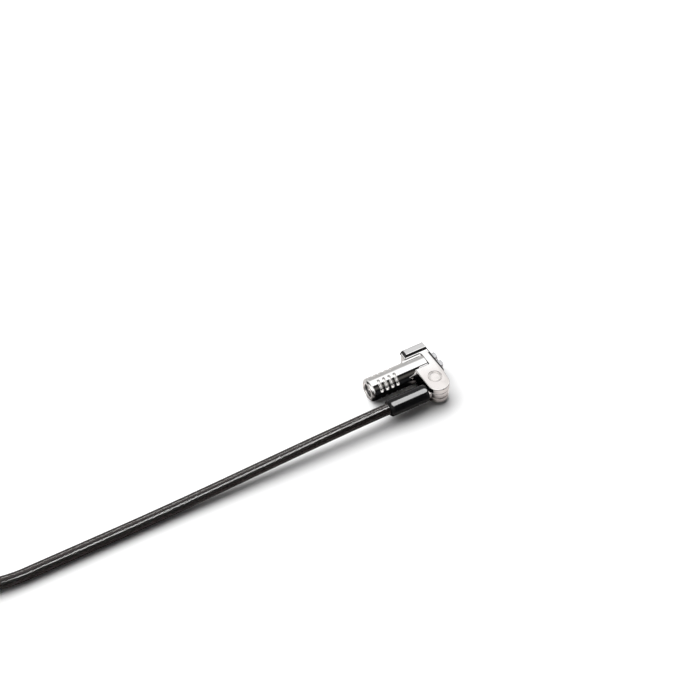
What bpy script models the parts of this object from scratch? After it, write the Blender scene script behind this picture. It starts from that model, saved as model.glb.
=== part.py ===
"""Laptop cable lock, slot type: chrome C-bracket, push barrel with a disc core, folding hooks
and a hinged, swivelling steel cable with an anchor loop.

Origin: the centre of the keyway disc's outer face, on the barrel axis. +X runs along the barrel
into the device, +Z is up, and the cable leaves along -X on the -Y side of the barrel.
Dimensions are in millimetres, with X counted from the bracket's front face; the row_frame empty
carries everything across to the origin. "Far" is the +Y side, "near" the -Y side, "front" +X."""

import itertools
import math

import bmesh
import bpy
from mathutils import Vector

for stale in list(bpy.data.objects):
    bpy.data.objects.remove(stale, do_unlink=True)

MM = 0.001
TAU = math.tau
PAST = 0.5               # how far most cutters run past the surface they open

# ---------------------------------------------------------------- driving dimensions
# Barrel
BARREL_R = 4.62
BARREL_BACK = -28.5      # key end
BARREL_FRONT = -3.4      # end next to the web of the bracket
BARREL_CHAMFER = 0.85
CORE_BORE_R = 3.25
CORE_BORE_FRONT = -8.9
SPRING_BORE_BACK = -5.2
BLADE_BACK = -5.8
BLADE_TIP = 2.8
GRIP_ROWS = (-24.4, -22.1, -19.8, -17.5)
GRIP_WIDTH = 1.1
GRIP_DEPTH = 0.85
GRIP_START = 7.0         # degrees from +Y
GRIP_SWEEP = 65.0
SHOULDER_TOP = 3.95
SHOULDER_CHAMFER = 0.35
SHOULDERS = ((-12.0, 3.2), (-7.4, -2.75))   # back end X, outer side Y

# Bracket
PLATE_TOP = 4.15
PLATE_BOTTOM = -3.5
WEB_BACK = -3.0
WEB_FRONT = 0.0
WINDOW_HALF_Y = 3.0      # opening in the web for the hooks and blade
WINDOW_HALF_Z = 1.2
ARM_END = -10.1
ARM_IN = 3.5
ARM_OUT = 7.4
ARM_TOP = 5.0
ARM_RIDGE_Y = 4.75
ARM_CORNER_R = 1.5
WEB_FILLET_R = 1.0
NOTCH_NEAR = -3.05
BRACKET_BORE_R = 4.92
EAR = (-4.8, -11.95)     # knuckle axis
EAR_R = 4.4
EAR_GAP_R = 5.4
MARK = (-4.5, -9.35)     # round inlay on the ear
MARK_R = 2.65

# Knuckle eye on its pivot
EYE_TOP = 1.5
EYE_BOTTOM = -1.2
EYE_R = 4.25
EYE_CLEAR = 0.2
PIVOT_R = 1.3
LINK_HALF = 2.1

# Hooks
HOOK_PIVOT = (-1.75, 1.75)
HOOK_THICK = 2.0
HOOK_PIN_R = 0.5
PIN_INSET = 0.05         # pins stop this far inside the bracket's underside

# Rotating core
CORE_BACK = BARREL_BACK + 1.0
CORE_FRONT = -9.3
CORE_R = 3.1
CORE_IN_R = 2.5
KEY_FACE = CORE_BACK + 0.05
MOON_R = 2.12            # half-moon openings of the keyway
KEYWAY_TILT = -22.0      # degrees
DISC_R = 2.35
DISC_HOLE_R = 1.35
DISC_START = CORE_BACK + 1.35
DISC_PITCH = 2.6
DISC_THICK = 1.3
GATE_DEPTH = 0.55
SPACER_GAP = 0.25
SPACER_THICK = 0.7
GATES = (34.0, -28.0, 52.0, -46.0, 22.0)    # each disc's gate, degrees from +Z
SIDEBAR_SLOT = (CORE_BACK + 1.3, CORE_FRONT - 1.5)
SIDEBAR_SLOT_HALF = 0.6
SIDEBAR_CLEAR = 0.15
CRANK = 0.8
CRANK_R = 0.35
CRANK_FRONT = -6.3
CRANK_Y = CRANK * math.cos(math.radians(45))    # the pin stands as far up as across

# Latch bolt
LATCH_BACK, LATCH_FRONT = -8.0, -6.1
LATCH_TIP_Y = 5.7

# Cable: distances along it are measured from the knuckle axis
CABLE_TURN = -0.3        # degrees the resting cable stands off the barrel axis
BOOT_R = 3.4
BOOT_SKIRT = -5.2        # the boot reaches forward as a skirt round the link
SKIRT_IN_R = 2.95
BOOT_FRONT = -6.0
BOOT_BACK = -21.5
BOOT_MOUTH_R = 2.32
BOOT_CAVITY_R = 2.7
BOOT_Z = 0.55
BOOT_ORIGIN = (BOOT_FRONT, 0.0, BOOT_Z)
CORE_CABLE_R = 1.55
SHEATH_R = 2.2
SHEATH_IN_R = 1.7
FLOOR = -BARREL_R        # the barrel and the cable rest on one table
LAY_Z = FLOOR + SHEATH_R
SAG_END = -130.0
BEND_X = -84.0           # the cable is two lengths with a gap here
BEND_GAP = 1.2
CRIMP_FRONT = -188.0
CRIMP_BACK = -201.0
CRIMP_WALL = 0.95        # the crimp lifts the cable off the table by its own wall
CRIMP_RUN_UP = 24.0      # length over which the cable shifts and rises to the crimp
STRAND_Y = 2.4
LOOP_CENTRE = -229.0
LOOP_R = 14.0
LOOP_JOIN = 58.0         # degrees from +X where the strands meet the round loop


# ---------------------------------------------------------------- frames
def empty(name, location, parent=None):
    frame = bpy.data.objects.new(name, None)
    bpy.context.scene.collection.objects.link(frame)
    frame.parent = parent
    frame.location = Vector(location) * MM
    return frame


row_frame = empty("row_frame", (-KEY_FACE, 0.0, 0.0))
knuckle_frame = empty("knuckle_frame", (*EAR, 0.0), row_frame)
knuckle_frame.rotation_euler = (0.0, 0.0, math.radians(CABLE_TURN))

# ---------------------------------------------------------------- materials
# base colour, roughness, metallic
PALETTE = {
    "chrome": ((0.80, 0.79, 0.78), 0.09, 1.0),
    "steel": ((0.56, 0.56, 0.57), 0.30, 1.0),
    "dark_steel": ((0.20, 0.20, 0.21), 0.38, 1.0),
    "brass": ((0.78, 0.60, 0.30), 0.28, 1.0),
    "spring": ((0.50, 0.50, 0.52), 0.25, 1.0),
    "rubber": ((0.020, 0.020, 0.021), 0.75, 0.0),
    "gloss_black": ((0.012, 0.012, 0.013), 0.16, 0.0),
    "sheath": ((0.045, 0.043, 0.045), 0.18, 0.0),
    "strand": ((0.46, 0.45, 0.44), 0.32, 1.0),
}


def material(name, finish):
    colour, roughness, metallic = PALETTE[finish]
    result = bpy.data.materials.new(name)
    result.use_nodes = True
    inputs = result.node_tree.nodes["Principled BSDF"].inputs
    inputs["Base Color"].default_value = (*colour, 1.0)
    inputs["Roughness"].default_value = roughness
    inputs["Metallic"].default_value = metallic
    result.diffuse_color = (*colour, 1.0)
    return result


# ---------------------------------------------------------------- objects from shapes
SHARP_ANGLE = math.radians(32)


def part(name, shape, finish, origin=(0.0, 0.0, 0.0), parent=row_frame, smooth=False):
    """Turns a bmesh drawn in millimetres into an object whose origin stands at `origin`."""
    bmesh.ops.recalc_face_normals(shape, faces=shape.faces)
    bmesh.ops.translate(shape, verts=shape.verts, vec=-Vector(origin))
    bmesh.ops.scale(shape, verts=shape.verts, vec=(MM, MM, MM))
    mesh = bpy.data.meshes.new(name)
    shape.to_mesh(mesh)
    shape.free()
    result = bpy.data.objects.new(name, mesh)
    bpy.context.scene.collection.objects.link(result)
    result.location = Vector(origin) * MM
    result.parent = parent
    if finish is not None:
        mesh.materials.append(material(name + "_finish", finish))
    if smooth:
        mesh.shade_smooth()
        mesh.set_sharp_from_angle(angle=SHARP_ANGLE)
    return result


def cable_part(name, shape, finish, origin=BOOT_ORIGIN):
    """A smooth piece that swings with the knuckle."""
    return part(name, shape, finish, origin, knuckle_frame, smooth=True)


cutter_numbers = itertools.count(1)


def cut(target, shape, operation="DIFFERENCE"):
    """Takes a drawn shape away from the target, or joins it on."""
    number = next(cutter_numbers)
    tool = part("cutter_%02d" % number, shape, None, parent=target.parent)
    tool.hide_render = True
    tool.display_type = "WIRE"
    step = target.modifiers.new("shape_%02d" % number, "BOOLEAN")
    step.operation = operation
    step.solver = "EXACT"
    step.object = tool


# ---------------------------------------------------------------- shape helpers
def bridge(shape, one, two):
    """Joins two closed rings of vertices with quads."""
    for k in range(len(one)):
        n = (k + 1) % len(one)
        shape.faces.new((one[k], one[n], two[n], two[k]))


def cap_ends(shape, loops):
    shape.faces.new(loops[0])
    shape.faces.new(list(reversed(loops[-1])))


def lathe(profile, segments, axis="X", centre=(0.0, 0.0)):
    """Revolves a closed (station, radius) outline. Points of zero radius become poles."""
    shape = bmesh.new()

    def vertex(station, radius, angle):
        u = centre[0] + radius * math.cos(angle)
        v = centre[1] + radius * math.sin(angle)
        return shape.verts.new((station, u, v) if axis == "X" else (u, v, station))

    rings = []
    for station, radius in profile:
        count = 1 if radius < 1e-6 else segments
        rings.append([vertex(station, radius, TAU * k / segments) for k in range(count)])
    for one, two in zip(rings, rings[1:] + rings[:1]):
        if len(one) == 1 and len(two) == 1:
            continue
        for k in range(segments):
            n = (k + 1) % segments
            corners = (one[k % len(one)], two[k % len(two)], two[n % len(two)], one[n % len(one)])
            shape.faces.new(list(dict.fromkeys(corners)))    # a pole counts once
    return shape


def rod(start, end, radius, segments, chamfer=0.0, axis="X", centre=(0.0, 0.0)):
    if chamfer > 0.0:
        rim = [(start, radius - chamfer), (start + chamfer, radius),
               (end - chamfer, radius), (end, radius - chamfer)]
    else:
        rim = [(start, radius), (end, radius)]
    return lathe([(start, 0.0), *rim, (end, 0.0)], segments, axis, centre)


def tube(start, end, inner, outer, segments, centre=(0.0, 0.0)):
    profile = [(start, inner), (start, outer), (end, outer), (end, inner)]
    return lathe(profile, segments, centre=centre)


def box(*spans):
    """A block from its (low, high) spans in X, Y and Z."""
    shape = bmesh.new()
    bmesh.ops.create_cube(shape, size=1.0)
    size = [high - low for low, high in spans]
    middle = [(low + high) / 2 for low, high in spans]
    bmesh.ops.scale(shape, verts=shape.verts, vec=size)
    bmesh.ops.translate(shape, verts=shape.verts, vec=middle)
    return shape


def prism(outline, low, high, plane="XY"):
    """Extrudes a closed outline along the axis its plane leaves out."""
    shape = bmesh.new()
    bottom, top = (
        [shape.verts.new((u, v, level) if plane == "XY" else (level, u, v)) for u, v in outline]
        for level in (low, high))
    cap_ends(shape, (bottom, top))
    bridge(shape, bottom, top)
    return shape


def arc(centre, radius, start, end, steps):
    """Points round a centre; start and end in degrees."""
    angles = [math.radians(start + (end - start) * k / steps) for k in range(steps + 1)]
    return [(centre[0] + radius * math.cos(a), centre[1] + radius * math.sin(a)) for a in angles]


def level_frame(point, tangent):
    """Section axes of a cable: one level, one rising."""
    side = tangent.cross(Vector((0.0, 0.0, 1.0))).normalized()
    return side, side.cross(tangent).normalized()


def coil_frame(point, tangent):
    """Section axes of a coil round X: one outward, one across."""
    outward = Vector((0.0, point.y, point.z)).normalized()
    outward = (outward - tangent * outward.dot(tangent)).normalized()
    return outward, tangent.cross(outward)


def sweep(points, radii, sides, frame=level_frame):
    """A rod (one radius) or a tube (outer and inner radius) along a polyline, ends flat."""
    shape = bmesh.new()
    path = [Vector(point) for point in points]
    skins = [[] for _ in radii]
    for i, here in enumerate(path):
        tangent = (path[min(i + 1, len(path) - 1)] - path[max(i - 1, 0)]).normalized()
        across, rise = frame(here, tangent)
        for skin, radius in zip(skins, radii):
            skin.append([
                shape.verts.new(here + across * radius * math.cos(TAU * k / sides)
                                + rise * radius * math.sin(TAU * k / sides))
                for k in range(sides)])
    for skin in skins:
        for one, two in zip(skin, skin[1:]):
            bridge(shape, one, two)
    if len(skins) == 1:
        cap_ends(shape, skins[0])
    else:
        outer, inner = skins
        for end in (0, -1):
            bridge(shape, outer[end], inner[end])
    return shape


# ---------------------------------------------------------------- bracket
def bracket_plan():
    """X, Y outline: far arm, web with its notch, then the round ear on the near side."""
    ear_back = EAR[0] - EAR_R
    return (
        [(WEB_FRONT, ARM_OUT - 0.4), (WEB_FRONT - 0.4, ARM_OUT)]
        + arc((ARM_END + ARM_CORNER_R, ARM_OUT - ARM_CORNER_R), ARM_CORNER_R, 90, 180, 5)
        + [(ARM_END, ARM_IN)]
        + arc((WEB_BACK - WEB_FILLET_R, ARM_IN - WEB_FILLET_R), WEB_FILLET_R, 90, 0, 4)
        + [(WEB_BACK, NOTCH_NEAR), (ear_back + 0.4, NOTCH_NEAR - 0.3),
           (ear_back, NOTCH_NEAR - 0.7)]
        + arc(EAR, EAR_R, 180, 360, 20)
        + [(WEB_FRONT, -8.2)]
    )


def arm_ridge():
    """Raised ridge along the far arm, its top sloping down at the back end."""
    inner_y, outer_y = ARM_IN + 0.02, ARM_OUT - 0.02
    foot = PLATE_TOP - 0.5
    section = [   # Y, Z
        (inner_y, foot), (inner_y, PLATE_TOP), (ARM_RIDGE_Y, ARM_TOP),
        (ARM_OUT - 0.3, ARM_TOP), (outer_y, ARM_TOP - 0.3), (outer_y, foot),
    ]
    ridge = prism(section, ARM_END + 0.05, WEB_FRONT - 0.05, "YZ")
    for vert in ridge.verts:
        if vert.co.x < ARM_END + 1.0 and vert.co.z > PLATE_TOP + 0.1:
            vert.co.x += 0.7 if vert.co.y < 5.0 else 1.3
    return ridge


def build_bracket():
    bracket = part("bracket", prism(bracket_plan(), PLATE_BOTTOM, PLATE_TOP), "chrome")
    below = PLATE_BOTTOM - PAST
    cut(bracket, arm_ridge(), "UNION")
    cut(bracket, rod(ARM_END - 2.0, WEB_BACK, BRACKET_BORE_R, 40))
    cut(bracket, box((WEB_BACK - PAST, WEB_FRONT + PAST),
                     (-WINDOW_HALF_Y, WINDOW_HALF_Y), (-WINDOW_HALF_Z, WINDOW_HALF_Z)))
    # gap that takes the knuckle eye, the pivot hole and the seat of the inlay
    cut(bracket, rod(EYE_BOTTOM - EYE_CLEAR, EYE_TOP + EYE_CLEAR, EAR_GAP_R, 36,
                     axis="Z", centre=EAR))
    cut(bracket, rod(below, 3.1, PIVOT_R + 0.06, 20, axis="Z", centre=EAR))
    cut(bracket, rod(3.7, PLATE_TOP + PAST, MARK_R + 0.1, 28, axis="Z", centre=MARK))
    # pocket in the far arm for the latch nose
    pocket_in, pocket_out = 4.0, LATCH_TIP_Y + 0.25
    pocket = [
        (LATCH_FRONT + 0.15, pocket_in), (LATCH_FRONT + 0.15, pocket_out),
        (LATCH_BACK - 0.1, pocket_out), (ARM_END - 0.4, 4.85), (ARM_END - 0.4, pocket_in),
    ]
    cut(bracket, prism(pocket, -1.2, 1.2))
    for side in (1, -1):
        pivot = (HOOK_PIVOT[0], side * HOOK_PIVOT[1])
        cut(bracket, rod(below, 2.6, HOOK_PIN_R + 0.05, 12, axis="Z", centre=pivot))


def build_front_pad():
    margin = 0.25
    half_y, half_z = WINDOW_HALF_Y + margin, WINDOW_HALF_Z + margin
    pad_shape = box((WEB_FRONT + 0.05, WEB_FRONT + 0.45), (-8.0, 7.1), (-3.2, 3.95))
    pad = part("front_pad", pad_shape, "rubber")
    cut(pad, box((-1.0, 1.0), (-half_y, half_y), (-half_z, half_z)))


def build_pivot_pin():
    pin = rod(PLATE_BOTTOM + PIN_INSET, 3.0, PIVOT_R, 20, chamfer=0.2, axis="Z", centre=EAR)
    part("pivot_pin", pin, "steel", (*EAR, 0.0), smooth=True)


def build_mark_disc():
    recess = PLATE_TOP - 0.12
    profile = [   # Z, radius: a disc with a raised rim
        (3.75, 0.0), (3.75, MARK_R), (PLATE_TOP - 0.1, MARK_R), (PLATE_TOP, MARK_R - 0.1),
        (PLATE_TOP, 2.2), (recess, 2.1), (recess, 0.0),
    ]
    disc = lathe(profile, 28, "Z", MARK)
    part("mark_disc", disc, "chrome", (*MARK, PLATE_TOP), smooth=True)


# ---------------------------------------------------------------- hooks on their pins
HOOK_HEEL_R = 0.95
HOOK_CLAW = (    # X, Y of the far hook from the shank round the claw
    (1.75, 2.55), (2.0, 3.4), (2.2, 3.55), (2.9, 3.55), (3.3, 2.9), (3.3, 1.1), (3.0, 0.8),
)


def build_hook(word, side):
    pivot = (HOOK_PIVOT[0], side * HOOK_PIVOT[1])
    pin = rod(PLATE_BOTTOM + PIN_INSET, 2.5, HOOK_PIN_R, 12, 0.1, "Z", pivot)
    part("hook_pin_" + word, pin, "steel", (*pivot, 0.0), smooth=True)
    far_outline = arc(HOOK_PIVOT, HOOK_HEEL_R, 270, 62, 7) + list(HOOK_CLAW)
    outline = [(x, side * y) for x, y in far_outline]
    hook_shape = prism(outline, -HOOK_THICK / 2, HOOK_THICK / 2)
    hook = part("hook_" + word, hook_shape, "steel", (*pivot, 0.0))
    cut(hook, rod(-HOOK_THICK, HOOK_THICK, HOOK_PIN_R + 0.12, 12, axis="Z", centre=pivot))


# ---------------------------------------------------------------- barrel
def shoulder(back, outer_y):
    """Flat-topped block from the barrel axis out to outer_y, its outer top edge chamfered."""
    chamfer_y = outer_y - math.copysign(SHOULDER_CHAMFER, outer_y)
    section = [   # Y, Z
        (0.0, 0.0), (outer_y, 0.0), (outer_y, SHOULDER_TOP - SHOULDER_CHAMFER),
        (chamfer_y, SHOULDER_TOP), (0.0, SHOULDER_TOP),
    ]
    return prism(section, back, BARREL_FRONT, "YZ")


def grip_slots():
    """Arc-shaped cutters in one mesh: four rows, four slots round the barrel in each."""
    shape = bmesh.new()
    steps = 6
    half = GRIP_WIDTH / 2
    low, high = BARREL_R - GRIP_DEPTH, BARREL_R + 0.6
    section = ((-half, low), (half, low), (half, high), (-half, high))    # X offset, radius
    for row, quarter in itertools.product(GRIP_ROWS, range(4)):
        start = GRIP_START + 90.0 * quarter
        loops = []
        for k in range(steps + 1):
            angle = math.radians(start + GRIP_SWEEP * k / steps)
            loops.append([
                shape.verts.new((row + dx, radius * math.cos(angle), radius * math.sin(angle)))
                for dx, radius in section])
        for one, two in zip(loops, loops[1:]):
            bridge(shape, one, two)
        cap_ends(shape, loops)
    return shape


def build_barrel_shell():
    profile = [   # X, radius
        (BARREL_BACK, 0.0), (BARREL_BACK, BARREL_R - BARREL_CHAMFER),
        (BARREL_BACK + 0.3, BARREL_R - 0.35), (BARREL_BACK + BARREL_CHAMFER, BARREL_R),
        (BARREL_FRONT, BARREL_R), (BARREL_FRONT, 0.0),
    ]
    shell = part("barrel_shell", lathe(profile, 40), "chrome", smooth=True)
    for back, outer_y in SHOULDERS:
        cut(shell, shoulder(back, outer_y), "UNION")
    # core bore and the wider seat of the bezel
    cut(shell, rod(BARREL_BACK - 1.0, CORE_BORE_FRONT, CORE_BORE_R, 36))
    cut(shell, rod(BARREL_BACK - 1.0, BARREL_BACK + 0.75, 3.47, 36))
    # latch chamber and the slot its nose passes through
    cut(shell, box((CORE_BORE_FRONT - 0.05, -5.85), (-2.6, 2.7), (-1.5, 2.3)))
    cut(shell, box((LATCH_BACK - 0.15, LATCH_FRONT + 0.15), (2.0, 6.0), (-1.15, 1.15)))
    # spring bore and blade slot
    cut(shell, rod(SPRING_BORE_BACK, BARREL_FRONT + 1.0, 2.45, 28))
    cut(shell, box((-6.2, -4.9), (-0.40, 0.40), (-0.80, 0.80)))
    cut(shell, grip_slots())


def build_bezel_ring():
    back, front = BARREL_BACK + 0.08, BARREL_BACK + 0.68
    profile = [   # X, radius
        (back, 2.75), (back, 3.3), (BARREL_BACK + 0.2, 3.42), (front, 3.42),
        (front, 2.6), (BARREL_BACK + 0.3, 2.6),
    ]
    part("bezel_ring", lathe(profile, 32), "chrome", smooth=True)


def build_locking_blade():
    taper = BLADE_TIP - 0.5
    outline = [   # X, Y
        (BLADE_BACK, -0.35), (taper, -0.35), (BLADE_TIP, -0.15),
        (BLADE_TIP, 0.15), (taper, 0.35), (BLADE_BACK, 0.35),
    ]
    part("locking_blade", prism(outline, -0.72, 0.72), "steel")


def build_return_spring():
    """Coil between the barrel and the web."""
    turns, steps_per_turn = 3, 14
    back, length = -4.9, 1.62
    coil_r, wire_r = 1.95, 0.19
    steps = turns * steps_per_turn
    coil = []
    for k in range(steps + 1):
        share = k / steps
        angle = TAU * turns * share
        coil.append((back + share * length, coil_r * math.cos(angle), coil_r * math.sin(angle)))
    part("return_spring", sweep(coil, (wire_r,), 6, coil_frame), "spring", smooth=True)


# ---------------------------------------------------------------- rotating core
def build_lock_core():
    """Sleeve open at the key end, with a sidebar slot on top and a crank pin in front."""
    floor = CORE_FRONT - 0.9
    profile = [   # X, radius
        (CORE_BACK, CORE_IN_R), (CORE_BACK, CORE_R), (CORE_FRONT, CORE_R),
        (CORE_FRONT, 0.0), (floor, 0.0), (floor, CORE_IN_R),
    ]
    core = part("lock_core", lathe(profile, 32), "dark_steel", smooth=True)
    cut(core, box(SIDEBAR_SLOT, (-SIDEBAR_SLOT_HALF, SIDEBAR_SLOT_HALF), (2.0, 3.6)))
    crank = rod(CORE_FRONT - 0.3, CRANK_FRONT, CRANK_R, 12, centre=(CRANK_Y, CRANK_Y))
    cut(core, crank, "UNION")


def build_keyway_disc():
    """Front plate of the keyway: a bar across the disc between two half-moon openings."""
    plate = rod(KEY_FACE, CORE_BACK + 0.85, DISC_R, 28)
    disc = part("keyway_disc", plate, "steel", smooth=True)
    for turn in (KEYWAY_TILT, KEYWAY_TILT + 180.0):
        half_moon = arc((0.0, 0.0), MOON_R, turn + 13, turn + 167, 10)
        cut(disc, prism(half_moon, CORE_BACK - 0.5, CORE_BACK + 1.5, "YZ"))


def build_disc_and_spacer(number, gate_turn):
    back = DISC_START + DISC_PITCH * (number - 1)
    front = back + DISC_THICK
    gate = 90.0 + gate_turn
    outline = (arc((0.0, 0.0), DISC_R, gate + 12.0, gate + 348.0, 23)
               + arc((0.0, 0.0), DISC_R - GATE_DEPTH, gate - 10.0, gate + 10.0, 1))
    disc = part("disc_%d" % number, prism(outline, back, front, "YZ"), "brass")
    hole = arc((0.0, 0.0), DISC_HOLE_R, 0, 360, 16)[:-1]
    cut(disc, prism(hole, back - PAST, front + PAST, "YZ"))
    spacer_back = front + SPACER_GAP
    spacer = tube(spacer_back, spacer_back + SPACER_THICK, 1.6, DISC_R, 20)
    part("spacer_%d" % number, spacer, "dark_steel", smooth=True)


def build_sidebar():
    back, front = SIDEBAR_SLOT
    half = SIDEBAR_SLOT_HALF - SIDEBAR_CLEAR
    bar = box((back + SIDEBAR_CLEAR, front - SIDEBAR_CLEAR), (-half, half), (2.48, 3.02))
    part("sidebar", bar, "steel")


def build_latch_bolt():
    """Bolt worked by the crank: a block, a nose towards +Y and the slot the crank runs in."""
    body = box((LATCH_BACK, LATCH_FRONT), (-1.2, 2.45), (-1.2, 2.0))
    middle = 0.5 * (LATCH_BACK + LATCH_FRONT)
    latch = part("latch_bolt", body, "steel", (middle, 0.0, 0.0))
    nose = [   # X, Y
        (LATCH_BACK, 2.3), (LATCH_FRONT, 2.3), (LATCH_FRONT, LATCH_TIP_Y),
        (LATCH_BACK + 0.55, LATCH_TIP_Y), (LATCH_BACK, LATCH_TIP_Y - 0.26),
    ]
    cut(latch, prism(nose, -1.0, 1.0), "UNION")
    reach_y, reach_z = CRANK_R + 0.14, CRANK_R + 0.2
    cut(latch, box((LATCH_BACK - 1.0, LATCH_FRONT + 1.0),
                   (CRANK_Y - reach_y, CRANK_Y + reach_y),
                   (CRANK_Y - reach_z, CRANK + reach_z)))


# ---------------------------------------------------------------- knuckle and boot
def build_knuckle_eye():
    disc = rod(EYE_BOTTOM, EYE_TOP, EYE_R, 32, chamfer=0.35, axis="Z")
    eye = cable_part("knuckle_eye", disc, "chrome", origin=(0.0, 0.0, 0.0))
    link = box((-5.75, -2.0), (-LINK_HALF, LINK_HALF), (EYE_BOTTOM + 0.02, EYE_TOP - 0.02))
    cut(eye, link, "UNION")
    cut(eye, rod(-2.0, 3.0, PIVOT_R + 0.12, 20, axis="Z"))
    cut(eye, rod(-7.0, -3.4, 0.75, 14, centre=(0.0, BOOT_Z)))


def build_boot():
    """Boot with the turned pieces inside it."""
    axis = (0.0, BOOT_Z)
    cavity_back, cavity_front = BOOT_BACK + 0.7, BOOT_FRONT - 1.6
    # X, radius
    stem = [(-3.5, 0.0), (-3.5, 0.7), (-8.5, 0.7), (-8.5, 2.0), (-9.7, 2.0), (-9.7, 0.0)]
    boot = [
        (BOOT_FRONT, 0.95), (BOOT_FRONT, SKIRT_IN_R), (BOOT_SKIRT, SKIRT_IN_R),
        (BOOT_SKIRT, BOOT_R - 0.3), (BOOT_SKIRT - 0.35, BOOT_R - 0.1),
        (BOOT_SKIRT - 1.0, BOOT_R), (BOOT_BACK + 1.1, BOOT_R),
        (BOOT_BACK + 0.32, BOOT_R - 0.32), (BOOT_BACK, BOOT_R - 0.9),
        (BOOT_BACK, BOOT_MOUTH_R), (cavity_back, BOOT_MOUTH_R), (cavity_back, BOOT_CAVITY_R),
        (cavity_front, BOOT_CAVITY_R), (cavity_front, 0.95),
    ]
    socket_r = CORE_CABLE_R + 0.08
    ferrule = [
        (-10.4, 0.0), (-10.4, 2.35), (-10.6, 2.55), (-20.4, 2.55),
        (-20.4, socket_r), (-11.6, socket_r), (-11.6, 0.0),
    ]
    cable_part("swivel_stem", lathe(stem, 20, centre=axis), "steel")
    cable_part("cable_boot", lathe(boot, 32, centre=axis), "gloss_black")
    cable_part("thrust_washer", tube(-8.25, -7.8, 0.9, 2.3, 20, centre=axis), "steel")
    cable_part("crimp_ferrule", lathe(ferrule, 20, centre=axis), "steel")


# ---------------------------------------------------------------- cable
def ease(share):
    """Smooth step from 0 to 1, held flat outside that range."""
    share = min(max(share, 0.0), 1.0)
    return share * share * (3.0 - 2.0 * share)


def lay_height(x):
    """Height of the cable axis: it eases down from the boot to the table."""
    return BOOT_Z + (LAY_Z - BOOT_Z) * ease((BOOT_BACK - x) / (BOOT_BACK - SAG_END))


def tail_height(x):
    """Height of the cable axis past the bend, lifted where the crimp holds it."""
    if x > CRIMP_FRONT:
        lift = (CRIMP_FRONT + CRIMP_RUN_UP - x) / CRIMP_RUN_UP
    else:
        lift = 1.0 - (CRIMP_BACK - x) / (CRIMP_BACK - LOOP_CENTRE + LOOP_R)
    return lay_height(x) + CRIMP_WALL * ease(lift)


def first_run(steps):
    """Cable axis from inside the boot's mouth to the gap at the bend."""
    start, end = BOOT_BACK + 0.9, BEND_X + BEND_GAP / 2
    stations = [start + (end - start) * k / steps for k in range(steps + 1)]
    return [(x, 0.0, lay_height(x)) for x in stations]


def bezier(start, handle, end_handle, end, steps):
    """Cubic curve in X, Y, without its first point."""
    points = []
    for k in range(1, steps + 1):
        t = k / steps
        weights = ((1 - t) ** 3, 3 * t * (1 - t) ** 2, 3 * t * t * (1 - t), t ** 3)
        corners = (start, handle, end_handle, end)
        points.append(tuple(
            sum(weight * corner[i] for weight, corner in zip(weights, corners))
            for i in (0, 1)))
    return points


def second_run():
    """Straight cable, a shift into the crimp, then round the loop and back into the crimp."""
    start = BEND_X - BEND_GAP / 2
    shift = CRIMP_FRONT + CRIMP_RUN_UP
    points = [(start, 0.0), (start - 1.0, 0.0)]
    points += [(start + (shift - start) * k / 7, 0.0) for k in range(1, 8)]
    points += bezier((shift, 0.0), (shift - 10.0, 0.0),
                     (CRIMP_FRONT + 10.0, STRAND_Y), (CRIMP_FRONT, STRAND_Y), 6)

    loop = arc((LOOP_CENTRE, 0.0), LOOP_R, LOOP_JOIN, 360.0 - LOOP_JOIN, 16)
    join = loop[0]
    join_angle = math.radians(LOOP_JOIN)
    join_handle = (join[0] + 8.0 * math.sin(join_angle), join[1] - 8.0 * math.cos(join_angle))
    leave = (CRIMP_BACK - 2.0, STRAND_Y)
    leave_handle = (leave[0] - 6.0, STRAND_Y)
    points.append(leave)
    points += bezier(leave, leave_handle, join_handle, join, 6)
    points += loop[1:]
    mirrored = [(x, -y) for x, y in (join, join_handle, leave_handle, leave)]
    points += bezier(*mirrored, 6)
    points.append((CRIMP_FRONT - 1.0, -STRAND_Y))
    return [(x, y, tail_height(x)) for x, y in points]


BEND_ORIGIN = (BEND_X, 0.0, lay_height(BEND_X))


def build_cable():
    strand_radii = (CORE_CABLE_R,)
    sheath_radii = (SHEATH_R, SHEATH_IN_R)
    bare_end = (-11.9, 0.0, BOOT_Z)    # inside the ferrule
    tail = second_run()
    cable_part("cable_core_a", sweep([bare_end] + first_run(8), strand_radii, 8), "strand")
    cable_part("cable_sheath_a", sweep(first_run(10), sheath_radii, 12), "sheath")
    cable_part("cable_core_b", sweep(tail, strand_radii, 8), "strand", BEND_ORIGIN)
    cable_part("cable_sheath_b", sweep(tail, sheath_radii, 12), "sheath", BEND_ORIGIN)


def build_loop_crimp():
    height = LAY_Z + CRIMP_WALL
    radius = SHEATH_R + CRIMP_WALL - 0.02
    oval = (arc((STRAND_Y, height), radius, -90, 90, 8)
            + arc((-STRAND_Y, height), radius, 90, 270, 8))
    block = prism(oval, CRIMP_BACK, CRIMP_FRONT, "YZ")
    crimp = part("loop_crimp", block, "gloss_black", BEND_ORIGIN, knuckle_frame)
    for y in (STRAND_Y, -STRAND_Y):
        cut(crimp, rod(CRIMP_BACK - 1.0, CRIMP_FRONT + 1.0, SHEATH_R + 0.1, 16,
                       centre=(y, height)))


# ---------------------------------------------------------------- build
# The order sets the numbers of the cutters.
build_bracket()
build_front_pad()
build_pivot_pin()
build_mark_disc()
build_hook("far", 1)
build_hook("near", -1)
build_barrel_shell()
build_bezel_ring()
build_locking_blade()
build_return_spring()
build_lock_core()
build_keyway_disc()
for disc_number, gate_turn in enumerate(GATES, 1):
    build_disc_and_spacer(disc_number, gate_turn)
build_sidebar()
build_latch_bolt()
build_knuckle_eye()
build_boot()
build_cable()
build_loop_crimp()
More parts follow.
